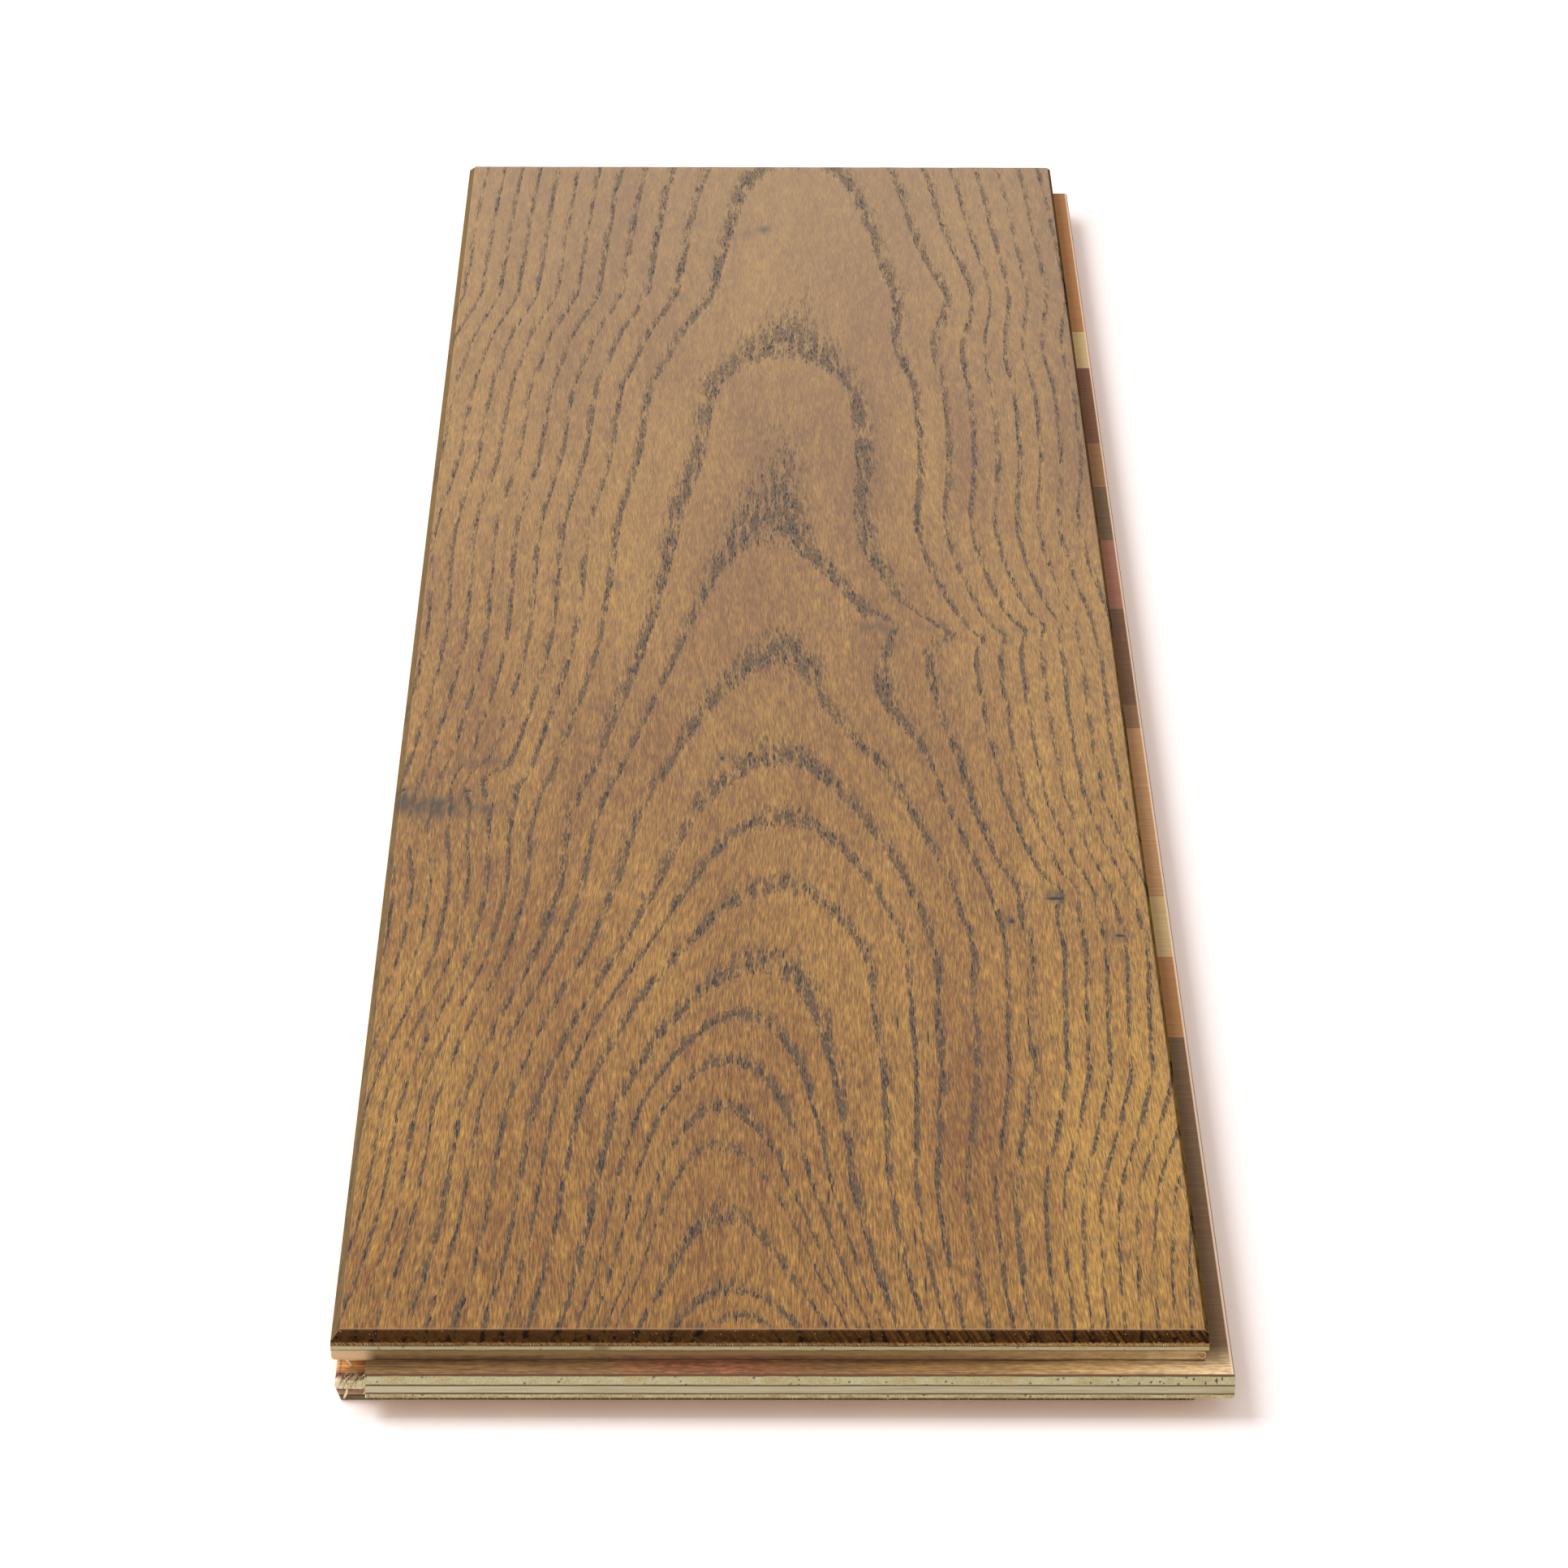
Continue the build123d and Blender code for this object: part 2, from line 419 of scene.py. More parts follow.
def brushed_oak(look):
    """Smoked oak, wire brushed and oiled.

    The brush opens the pores of each ring's early wood, and the stain stays in them, so the face
    shows grey-brown dashes in pointed arches on golden brown, with a satin sheen at low angles.
    End grain on the bevels drinks the stain and goes dark; the saw cut below them is bare.
    """
    material, add = blank_material("Brushed oiled oak")
    place = add("TexCoord", out=3)
    mm = add("VectorMath", {0: place, 3: 1 / MM}, operation="SCALE")
    rings, comb, sway, golden, crowd, stain = (
        add("Attribute", attribute_name=name, out=2)
        for name in ("rings", "comb", "sway", "golden", "crowd", "stain")
    )
    aside = add("CombineXYZ", sway)
    wood_place = add("VectorMath", mm, aside, operation="ADD")

    # Fine streaks, and clusters of pores.
    width, length = look.fibre_width / MM, look.fibre_length / MM
    cells = add("VectorMath", wood_place, (1 / width, 1 / length, 1 / width), operation="MULTIPLY")
    fine = add("TexNoise", {"Vector": cells, "Scale": 1.0, "Detail": 2.0, "Roughness": 0.6})
    width, length = look.pore_width / MM, look.pore_length / MM
    cells = add("VectorMath", wood_place, (1 / width, 1 / length, 1 / width), operation="MULTIPLY")
    pores = add("TexNoise", {"Vector": cells, "Scale": 1.0, "Detail": 2.0, "Roughness": 0.65})

    cells = add("VectorMath", wood_place, (1 / 1.4, 1 / 11, 1.0), operation="MULTIPLY")
    broad = add("TexNoise", {"Vector": cells, "Scale": 1.0, "Detail": 1.0})
    clump = add("MapRange", broad, 0.38, 0.6, 0.35, 1.3)

    def crowding(early_by):
        """How crowded the pores are where a strand starts early by this share of the comb."""
        ragged = add("Math", early_by, comb, rings, operation="MULTIPLY_ADD")
        into = add("Math", ragged, operation="FRACT")
        levels = ((0.0, 0.0), (0.02, 1.0), (0.13, 0.95), (0.24, 0.35), (0.36, 0.03), (1.0, 0.0))
        stops = [(at, (v, v, v, 1)) for at, v in levels]
        early = add("ValToRGB", into, stops=stops)
        ring = add("Math", ragged, operation="FLOOR")
        chance = add("TexWhiteNoise", {"W": ring}, noise_dimensions="1D")
        strength = add("Math", chance, 0.3, 0.8, operation="MULTIPLY_ADD")
        strength = add("Math", crowd, 0.6, strength, operation="MULTIPLY_ADD")
        strength = add("Math", strength, clump, operation="MULTIPLY")
        return add("Math", early, strength, operation="MULTIPLY")

    # Pores lie in staggered strands. A cell of a strand holds one long pore, if the ring is crowded enough.
    x_wood, y_wood, _ = add("SeparateXYZ", wood_place).node.outputs
    dash, deepest = 0.0, 0.0
    for part in (1.0, 0.6):
        column = add("Math", x_wood, MM / look.pore_width / part, operation="MULTIPLY")
        strand = add("Math", column, operation="FLOOR")
        shift = add("TexWhiteNoise", {"W": strand}, noise_dimensions="1D")
        row = add("Math", y_wood, MM / look.pore_length / part, shift, operation="MULTIPLY_ADD")
        cell = add("Math", row, operation="FLOOR")
        corner = add("CombineXYZ", strand, cell, part)
        chance = add("TexWhiteNoise", {"Vector": corner})
        early_by = add("Math", chance.node.outputs["Color"], 0.5, operation="SUBTRACT")
        crowded = add("Math", crowding(early_by), 0.85, operation="MULTIPLY")
        there = add("Math", chance, crowded, operation="LESS_THAN")
        from_column = add("Math", column, 0.5, operation="PINGPONG")
        from_row = add("Math", row, 0.5, operation="PINGPONG")
        inward = add("CombineXYZ", from_column, from_row)
        middle = add("VectorMath", inward, (0.5, 0.5, 0.0), operation="DISTANCE", out=1)
        oval = add("MapRange", middle, 0.34, 0.54, 1.0, 0.0)
        pore = add("Math", oval, there, operation="MULTIPLY")
        fainter = add("MapRange", crowded, 0.0, 0.4, 0.35, 1.0)
        pore = add("Math", pore, fainter, operation="MULTIPLY")
        dash = add("Math", pore, dash, operation="MAXIMUM")
        black = add("Math", chance, 0.5, 0.07, operation="COMPARE")
        black = add("Math", black, pore, operation="MULTIPLY")
        deepest = add("Math", black, deepest, operation="MAXIMUM")

    # Wood between the pores, streaked by its fibres.
    streak = add("Math", fine, 0.5, operation="SUBTRACT")
    tone = add("Math", streak, 1.1, golden, operation="MULTIPLY_ADD")
    tone = add("Math", broad, -0.9, tone, operation="MULTIPLY_ADD")
    tone = add("Math", tone, 0.45, operation="ADD")
    wood = add("Mix", {0: tone, 6: look.brown, 7: look.golden}, data_type="RGBA", out=2)
    depth = add("MapRange", y_wood, NEAR_END, OAK_HIGH[1], 2.4, 0.9)
    shade = add("Math", streak, depth, 1.0, operation="MULTIPLY_ADD")
    wood = add("VectorMath", {0: wood, 3: shade}, operation="SCALE")
    streak_by = add("Math", pores, 0.5, operation="SUBTRACT")
    packed = crowding(streak_by)
    # A pale grey veil laid over the wood towards the far end is painted sheen, so the wood there is paler
    # and greyer.
    thin = add("MapRange", y_wood, NEAR_END + 150, OAK_HIGH[1], 0.0, 0.3)
    porous = add("Math", packed, 0.3, operation="MULTIPLY")
    filled = add("MapRange", y_wood, NEAR_END, OAK_HIGH[1], 0.95, 0.6)
    dark = add("Math", dash, filled, operation="MULTIPLY")
    split = 0.0
    for across, along, half_width, half_length in CRACKS:
        centre = (across + OAK_MIDDLE, along + NEAR_END, OAK_HIGH[2])
        crack = spot(add, mm, centre, (half_width, half_length, 3.0))
        split = add("Math", crack, split, operation="MAXIMUM")
    # The first tone laid over is the painted sheen towards the far end; then come early wood, pores, cracks
    # and stains.
    wood = overlaid(
        add, wood, (thin, linear("#A88C60")), (porous, look.early), (dark, look.pore),
        (deepest, look.crack), (stain, look.pore), (split, look.crack),
    )

    # Distances from the edges say where the bevels and the saw cut are, with ragged borders.
    x, y, z = add("SeparateXYZ", mm).node.outputs
    from_near = add("Math", y, OAK_LOW[1], operation="SUBTRACT")
    from_far = add("Math", OAK_HIGH[1], y, operation="SUBTRACT")
    from_end = add("Math", from_near, from_far, operation="MINIMUM")
    from_left = add("Math", x, OAK_LOW[0], operation="SUBTRACT")
    mitre = add("Math", from_left, NEAR_BEVEL, operation="MINIMUM")
    on_end = add("Math", mitre, from_end, operation="SUBTRACT")
    on_bevel = add("Math", streak, 0.7, on_end, operation="MULTIPLY_ADD")
    stained = add("MapRange", on_bevel, -0.4, -0.2, 0.0, 1.0)

    # The milled bevels have no film of oil and no sheen. The right one is darkened as painted shade, and the
    # left one is greyed.
    nearest = add("Math", LEFT_BEVEL, from_left, operation="SUBTRACT")
    on_right = add("Math", x, OAK_HIGH[0] - RIGHT_BEVEL, operation="SUBTRACT")
    for bevel in (on_right, on_bevel):
        nearest = add("Math", nearest, bevel, operation="MAXIMUM")
    sheen = add("MapRange", nearest, -0.2, 0.2, 0.5, 0.0)
    # Painted shade darkens the right bevel.
    darker = add("MapRange", on_right, -0.05, 0.1, 1.0, 0.4)
    wood = add("VectorMath", {0: wood, 3: darker}, operation="SCALE")
    greyed_left_bevel = add("MapRange", from_left, LEFT_BEVEL, LEFT_BEVEL - 0.3, 0.0, 0.7)

    # End grain drinks the stain unevenly, most in the early wood, and is scratched at a slant to the right.
    slant = add("Math", from_end, 0.9, x, operation="MULTIPLY_ADD")
    scratch = add("TexNoise", {"W": slant, "Scale": 1 / 0.8, "Detail": 2.0, "Roughness": 0.7},
                  noise_dimensions="1D")
    mottle = add("TexNoise", {"Vector": mm, "Scale": 1 / 1.3, "Detail": 3.0, "Roughness": 0.75})
    torn = add("MapRange", x, -20.0, 45.0, 0.15, 1.0)
    furrow = add("Mix", {0: torn, 2: 0.5, 3: scratch})
    drink = add("Math", furrow, mottle, operation="ADD")
    drink = add("MapRange", drink, 0.75, 1.3, 0.2, 1.9)
    edge = add("VectorMath", {0: look.bevel[:3], 3: drink}, operation="SCALE")
    upper = add("MapRange", on_end, 0.2, 1.4, 0.6, 0.8)
    soaked = add("MapRange", mottle, 0.43, 0.56, 0.1, 1.3)
    black = add("MapRange", packed, 0.0, 0.5, 0.8, 1.3)
    for part in (upper, soaked):
        black = add("Math", black, part, operation="MULTIPLY")
    edge = overlaid(add, edge, (black, look.crack))

    # A thin light line along the arris is partly wear from the brush and partly painted highlight, and the
    # brush chipped specks of bare wood off it.
    rubbed = add("Math", on_end, -0.6, 0.25, operation="COMPARE")
    rubbed = add("Math", rubbed, 0.4, operation="MULTIPLY")
    speck = add("TexVoronoi", {"Vector": mm, "Scale": 1 / 1.1})
    speck = add("MapRange", speck, 0.06, 0.15, 0.8, 0.0)
    arris = add("Math", on_end, 0.25, 0.4, operation="COMPARE")
    speck = add("Math", speck, arris, operation="MULTIPLY")

    # The saw cut is bare below a wavy line, with pale fibres at a slant.
    below = add("Math", OAK_HIGH[2] - NEAR_BEVEL + 0.05, z, operation="SUBTRACT")
    below = add("Math", scratch, 0.5, below, operation="MULTIPLY_ADD")
    cut = add("MapRange", below, 0.33, 0.48, 0.0, 1.0)
    lean = add("Math", z, 0.8, x, operation="MULTIPLY_ADD")
    hair = add("TexNoise", {"W": lean, "Scale": 1 / 0.55, "Detail": 3.0, "Roughness": 0.7},
               noise_dimensions="1D")
    hair = add("Math", hair, mottle, operation="ADD")
    light = add("MapRange", hair, 0.7, 1.3, 0.3, 1.4)
    dull = add("MapRange", x, 20.0, 45.0, 0.58, 0.9)
    light = add("Math", light, dull, operation="MULTIPLY")
    bare = add("VectorMath", {0: look.raw[:3], 3: light}, operation="SCALE")
    # Laid over in order: the greyed left bevel, the stained bevels, the arris line of wear and painted
    # highlight, chipped specks, and the bare saw cut.
    wood = overlaid(
        add, wood, (greyed_left_bevel, linear("#6E604A")), (stained, edge), (rubbed, look.raw), (speck, look.raw),
        (cut, bare),
    )

    gloss = add("MapRange", dash, 0.0, 1.0, 0.22, 0.45)
    deep = add("Math", pores, -0.6, fine, operation="MULTIPLY_ADD")
    bump = add("Bump", {"Strength": 0.5, "Distance": 0.05 * MM, "Height": deep})
    finish = {"Base Color": wood, "Roughness": gloss, "Normal": bump}
    shader = add("BsdfPrincipled", finish | {"IOR": 1.3, "Specular IOR Level": sheen})
    add("OutputMaterial", shader)
    return material


def veneer(look, node, name, light, dark, grain_along, pore_share=0.0, overlay=None):
    """Peeled veneer, cut at its edges.

    Streaks follow its grain and show as dots where it is cut across, pores are dark, and resin
    stains a thin wavy line along both of its faces. overlay may lay other tones over the wood.
    """
    material, add = blank_material(name)
    place = add("TexCoord", out=3)
    mm = add("VectorMath", {0: place, 3: 1 / MM}, operation="SCALE")
    narrow, long = MM / look.fibre_width, MM / look.fibre_length
    cell = (narrow, long, narrow) if grain_along else (long, narrow, narrow)
    cells = add("VectorMath", mm, cell, operation="MULTIPLY")
    fibre = add("TexNoise", {"Vector": cells, "Scale": 1.0, "Detail": 3.0, "Roughness": 0.65})
    patch = add("TexNoise", {"Vector": cells, "Scale": 0.11, "Detail": 1.0})
    tone = add("Math", patch, 0.8, fibre, operation="MULTIPLY_ADD")
    tone = add("MapRange", tone, 0.62, 1.12, 0.0, 1.0)
    wood = add("Mix", {0: tone, 6: dark, 7: light}, data_type="RGBA", out=2)
    if overlay:
        wood = overlay(look, add, mm, fibre, wood)
    if pore_share:
        hole = add("TexVoronoi", {"Vector": cells, "Scale": 0.35})
        pore = add("MapRange", hole, 0.15, 0.28, pore_share, 0.0, interpolation_type="SMOOTHSTEP")
        some = add("MapRange", patch, 0.46, 0.56, 0.0, 1.0)
        pore = add("Math", pore, some, operation="MULTIPLY")
        wood = overlaid(add, wood, (pore, look.glue))
    low, high = (corner[2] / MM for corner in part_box(node))
    height = add("SeparateXYZ", mm, out=2)
    middle = add("Math", height, (low + high) / 2, operation="SUBTRACT")
    away = add("Math", middle, operation="ABSOLUTE")
    uneven = add("Math", patch, 0.3, away, operation="MULTIPLY_ADD")
    line = (high - low) / 2 - look.glue_width / MM + 0.15
    glue = add("MapRange", uneven, line - 0.04, line + 0.06, 0.0, 0.9, interpolation_type="SMOOTHSTEP")
    normal = add("NewGeometry", out=3)
    level = add("VectorMath", normal, (0, 0, 1), operation="DOT_PRODUCT", out=1)
    level = add("Math", level, operation="ABSOLUTE")
    cut = add("MapRange", level, 0.75, 0.95, 1.0, 0.0)
    glue = add("Math", glue, cut, operation="MULTIPLY")
    wood = overlaid(add, wood, (glue, look.glue))
    gloss = add("MapRange", fibre, 0.3, 0.7, 0.85, 0.65)
    bump = add("Bump", {"Strength": 0.6, "Distance": 0.2 * MM, "Height": fibre})
    shader = add("BsdfPrincipled", {"Base Color": wood, "Roughness": gloss, "IOR": 1.45, "Normal": bump})
    add("OutputMaterial", shader)
    return material


# Strips of veneer side by side along the long tongue: (along where each ends, colour), from the near end.
TONGUE_STRIPS = (
    (-1, "#8C6238"), (120, "#6E5030"), (154, "#A87440"), (179, "#C4A673"), (260, "#B8895A"),
    (272, "#8A6440"), (324, "#6E4A2C"), (361, "#A06850"), (394, "#6C5232"), (419, "#94683E"),
    (468, "#744628"), (493, "#CDB17C"), (600, "#B07842"),
)
# Tones along the near tongue: (across, colour).
NEAR_TONGUE = (
    (-75, "#7E5E36"), (-28, "#82603A"), (-16, "#835434"), (-4, "#835434"), (8, "#7E5A34"), (34, "#947042"),
    (60, "#BE9A68"), (74, "#D6B88A"),
)


def tongue_tones(look, add, mm, fibre, wood):
    """Tongue's top: strips of other veneers along the side, tones along the near end, and a painted
    highlight on its side edge.
    """
    across, along, height = add("SeparateXYZ", mm).node.outputs
    first, last = -10, 610
    starts = [first] + [end for end, _ in TONGUE_STRIPS[:-1]]
    shares = [(start - first) / (last - first) for start in starts]
    stops = [(share, linear(code)) for share, (_, code) in zip(shares, TONGUE_STRIPS)]
    share = add("MapRange", along, NEAR_END + first, NEAR_END + last, 0.0, 1.0)
    strips = add("ValToRGB", share, stops=stops)
    strips.node.color_ramp.interpolation = "CONSTANT"
    half = 80
    stops = [((at + half) / (2 * half), linear(code)) for at, code in NEAR_TONGUE]
    share = add("MapRange", across, OAK_MIDDLE - half, OAK_MIDDLE + half, 0.0, 1.0)
    near_end = add("ValToRGB", share, stops=stops)
    ragged = add("Math", fibre, 9.0, along, operation="MULTIPLY_ADD")
    near = add("MapRange", ragged, NEAR_END + 4.5, NEAR_END + 10.0, 1.0, 0.0)
    tone = add("Mix", {0: near, 6: strips, 7: near_end}, data_type="RGBA", out=2)
    contrast = add("MapRange", near, 0.0, 1.0, 0.8, 2.0)
    lighter = add("Math", fibre, 0.5, operation="SUBTRACT")
    shade = add("Math", lighter, contrast, 1.0, operation="MULTIPLY_ADD")
    wood = add("VectorMath", {0: tone, 3: shade}, operation="SCALE")
    cells = add("VectorMath", mm, (0.5, 1.6, 1.6), operation="MULTIPLY")
    fleck = add("TexNoise", {"Vector": cells, "Scale": 1.0, "Detail": 2.0, "Roughness": 0.6})
    mottled = add("MapRange", fleck, 0.3, 0.7, 0.65, 1.35)
    mottled = add("Mix", {0: near, 2: 1.0, 3: mottled})
    wood = add("VectorMath", {0: wood, 3: mottled}, operation="SCALE")

    # Reddish flecks lie on the tongue's top near the middle of the end.
    reddish = add("MapRange", fleck, 0.5, 0.62, 0.0, 0.5)
    around = add("Math", across, OAK_MIDDLE - 11, operation="SUBTRACT")
    around = add("Math", around, operation="ABSOLUTE")
    around = add("MapRange", around, 6.0, 20.0, 1.0, 0.0)
    on_top = add("Math", height, TONGUE_TOP + 0.1, operation="LESS_THAN")
    for part in (around, on_top, near):
        reddish = add("Math", reddish, part, operation="MULTIPLY")

    # The wall of the recess is lighter than the top, and a wavering dark line of painted shade lies in the
    # corner between them.
    wall = add("MapRange", height, TONGUE_TOP + 0.5, TONGUE_TOP + 1.2, 0.0, 0.45)
    above = add("Math", fibre, -0.3, height, operation="MULTIPLY_ADD")
    root = add("Math", above, TONGUE_TOP + 0.02, 0.13, operation="COMPARE")
    rising = add("Math", height, TONGUE_TOP + 0.02, operation="GREATER_THAN")
    inside = add("Math", across, GROOVE_END, operation="GREATER_THAN")
    for part in (rising, inside, 0.75):
        root = add("Math", root, part, operation="MULTIPLY")

    # The cut end of the groove's upper lip is bare, and the tongue's side edge carries a pale painted
    # highlight. Its front edge is red.
    lip = add("MapRange", across, GROOVE_END - 0.5, GROOVE_END + 1.5, 0.85, 0.0)
    over = add("Math", height, TONGUE_TOP + 0.1, operation="GREATER_THAN")
    lip = add("Math", lip, over, operation="MULTIPLY")
    side = add("Math", across, BOARD_HIGH[0] - 0.6, operation="SUBTRACT")
    edge_wear_and_highlight = add("MapRange", side, -0.08, 0.08, 0.0, 0.85)
    front = add("Math", BOARD_LOW[1] + 0.4, along, operation="SUBTRACT")
    red = add("MapRange", front, -0.05, 0.05, 0.0, 0.9)
    return overlaid(
        add, wood, (reddish, linear("#B5694A")), (wall, linear("#B0935E")), (root, linear("#3A2616")),
        (lip, linear("#D6B288")), (edge_wear_and_highlight, linear("#EFD0B4")), (red, linear("#6A3A22")),
    )


def groove_tones(look, add, mm, fibre, wood):
    """Groove floor: glazed orange streaks, torn near the front, where maroon shows between pale fibres."""
    x, y, z = add("SeparateXYZ", mm).node.outputs
    cells = add("VectorMath", mm, (0.12, 1.3, 0.5), operation="MULTIPLY")
    streak = add("TexNoise", {"Vector": cells, "Scale": 1.0, "Detail": 3.0, "Roughness": 0.65})
    glaze = add("MapRange", streak, 0.32, 0.68, 0.3, 2.0)
    glazed = add("VectorMath", {0: look.orange[:3], 3: glaze}, operation="SCALE")
    slant = add("Math", y, -0.5, x, operation="MULTIPLY_ADD")
    slant = add("Math", z, -0.45, slant, operation="MULTIPLY_ADD")
    hair = add("TexNoise", {"W": slant, "Scale": 1 / 0.9, "Detail": 2.0, "Roughness": 0.7},
               noise_dimensions="1D")
    # Maroon shows between the fibres at the back of the torn patch, less at its front and down the lip.
    patch_back = LIP_FRONT + 2.9
    forward = add("Math", patch_back, y, operation="SUBTRACT")
    forward = add("Math", forward, z, operation="SUBTRACT")
    cover = add("MapRange", forward, -GROOVE_FLOOR, 3.4 - GROOVE_FLOOR, -0.28, 0.1)
    hairy = add("Math", hair, cover, operation="ADD")
    hairy = add("MapRange", hairy, 0.4, 0.52, 0.0, 1.0)
    torn = overlaid(add, linear("#6E3A2C"), (hairy, linear("#E6D3AC")))
    behind = add("Math", y, patch_back, operation="SUBTRACT")
    behind = add("Math", streak, 0.8, behind, operation="MULTIPLY_ADD")
    whole = add("MapRange", behind, 0.3, 0.6, 0.0, 1.0)
    floor = overlaid(add, torn, (whole, glazed))
    on_floor = add("Math", z, GROOVE_FLOOR - 0.5, operation="GREATER_THAN")
    front = add("Math", y, LIP_FRONT + 0.3, operation="LESS_THAN")
    on_floor = add("Math", on_floor, front, operation="MAXIMUM")
    side = add("Math", x, GROOVE_END + 0.1, operation="LESS_THAN")
    back = add("Math", y, BOARD_HIGH[1] - GROOVE_DEPTH - 0.05, operation="GREATER_THAN")
    open_edge = add("Math", side, back, operation="MAXIMUM")
    shown = add("Math", on_floor, open_edge, operation="MULTIPLY")
    return overlaid(add, wood, (shown, floor))


# Cracks and a pin knot on the near end of the pale veneers: (x, height, half width, half height, darkness).
END_MARKS = (
    (70.06, 7.75, 0.28, 0.35, 0.95), (72.1, 6.95, 0.22, 0.45, 0.95), (74.0, 7.4, 0.2, 0.8, 0.95),
    (74.9, 7.8, 0.2, 0.5, 0.95), (64.3, 7.2, 0.2, 0.35, 0.95), (60.8, 6.9, 0.2, 0.35, 0.95),
    (57.2, 7.6, 0.18, 0.4, 0.95), (52.5, 7.0, 0.2, 0.3, 0.9), (47.0, 7.7, 0.18, 0.3, 0.9),
    (-31.0, 11.3, 2.0, 0.9, 0.5),
)


def end_marks(look, add, mm, fibre, wood):
    """Near end of the pale veneers: drying cracks between the rays, and a pin knot."""
    for x, height, half_width, half_height, darkness in END_MARKS:
        mark = spot(add, mm, (x, BOARD_LOW[1], height), (half_width, 20.0, half_height), darkness)
        wood = overlaid(add, wood, (mark, look.glue))
    return wood


def torn_wood(name, tone):
    """Bare wood torn or rubbed by the cutter: dry and matt, each fibre a little lighter or darker."""
    material, add = blank_material(name)
    place = add("TexCoord", out=3)
    spread = add("TexNoise", {"Vector": place, "Scale": 1 / (1.5 * MM), "Detail": 1.0})
    shade = add("MapRange", spread, 0.3, 0.7, 0.6, 1.1)
    bare = add("VectorMath", {0: tone[:3], 3: shade}, operation="SCALE")
    rough = add("MapRange", spread, 0.3, 0.7, 0.9, 0.75)
    shader = add("BsdfPrincipled", {"Base Color": bare, "Roughness": rough, "IOR": 1.4})
    add("OutputMaterial", shader)
    return material


# Front and lower edge of the near tongue, top of the lower lip, and the way fibres hang over that lip.
NOSE_FRONT = BOARD_LOW[1] + 0.4
NOSE_EDGE = TONGUE_UNDERSIDE + 0.1
LIP_TOP = GROOVE_FLOOR - 0.1
OVER_LIP = (-0.45, -0.15, -0.9)
# Edges with torn fibres, in millimetres: start, end, the way the fibres lean, and their length.
TORN_EDGES = [
    # Under the near tongue, and down its cut end.
    ((GROOVE_END, NOSE_FRONT, NOSE_EDGE), (75.5, NOSE_FRONT, NOSE_EDGE), (0.1, 0.2, -1.0), 0.75),
    ((GROOVE_END, NOSE_FRONT + 0.2, 8.3), (GROOVE_END, NOSE_FRONT + 0.2, 4.1), (-0.35, 0.0, -0.9), 1.3),
    # Over the front of the groove's lower lip.
    ((LIP_EDGE + 1.5, LIP_FRONT, LIP_TOP), (GROOVE_END, LIP_FRONT, LIP_TOP), OVER_LIP, 1.7),
    ((LIP_EDGE + 1.2, LIP_FRONT, 3.1), (GROOVE_END, LIP_FRONT, 3.1), OVER_LIP, 1.2),
    # Down the bare cut of the oak.
    ((OAK_LOW[0] + 1, NEAR_END, 12.2), (OAK_HIGH[0] - 1, NEAR_END, 12.2), (0.5, -0.08, -0.8), 0.6),
]
# Rows of torn fibres lying on the groove's floor, by their distance from its front.
for back in (0.5, 1.1, 1.7, 2.3, 2.8):
    start = (LIP_EDGE + 1.6, LIP_FRONT + back, GROOVE_FLOOR)
    end = (GROOVE_END, LIP_FRONT + back, GROOVE_FLOOR)
    TORN_EDGES.append((start, end, (-0.5, -0.8, 0.12), 1.6))


def fibre_tree():
    """Geometry Nodes tree that stands bent, tapered fibres along the edges of a mesh."""
    tree = bpy.data.node_groups.new("Torn fibres", "GeometryNodeTree")
    kinds = {
        "Geometry": "Geometry", "Spacing": "Float", "Thickness": "Float", "Seed": "Int",
        "Material": "Material",
    }
    for name, kind in kinds.items():
        tree.interface.new_socket(name, in_out="INPUT", socket_type="NodeSocket" + kind)
    tree.interface.new_socket("Geometry", in_out="OUTPUT", socket_type="NodeSocketGeometry")
    given = tree.nodes.new("NodeGroupInput").outputs
    add = partial(put, tree)

    edges = add("GeometryNodeMeshToCurve", given["Geometry"])
    roots = add("GeometryNodeCurveToPoints", {0: edges, 2: given["Spacing"]}, mode="LENGTH")

    # One fibre a millimetre long, bent and drawn to a point.
    middle, tip = (0.02 * MM, 0, 0.5 * MM), (0.3 * MM, 0, MM)
    spine = add("GeometryNodeCurveQuadraticBezier", 4, (0, 0, 0), middle, tip)
    ring = add("GeometryNodeCurvePrimitiveCircle", {0: 3, 4: given["Thickness"]})
    factor = add("GeometryNodeSplineParameter")
    taper = add("MapRange", factor, 0.0, 1.0, 1.0, 0.15)
    fibre = add("GeometryNodeCurveToMesh", spine, ring, taper, True)

    lean = add("GeometryNodeInputNamedAttribute", "lean", data_type="FLOAT_VECTOR")
    reach = add("GeometryNodeInputNamedAttribute", "reach", data_type="FLOAT")
    stray = add("FunctionNodeRandomValue", {0: (-0.45, -0.1, -0.2), 1: (0.45, 0.1, 0.2), 8: given["Seed"]},
                data_type="FLOAT_VECTOR")
    aim = add("VectorMath", lean, stray, operation="ADD")
    facing = add("FunctionNodeAlignRotationToVector", {2: aim}, axis="Z")
    share = add("FunctionNodeRandomValue", {2: 0.15, 3: 1.0, 8: given["Seed"]}, data_type="FLOAT", out=1)
    length = add("Math", reach, share, operation="MULTIPLY")
    stand = add("GeometryNodeInstanceOnPoints", {0: roots, 2: fibre, 5: facing, 6: length})
    real = add("GeometryNodeRealizeInstances", stand)
    made = add("GeometryNodeSetMaterial", {0: real, 2: given["Material"]})
    add("NodeGroupOutput", made)
    return tree


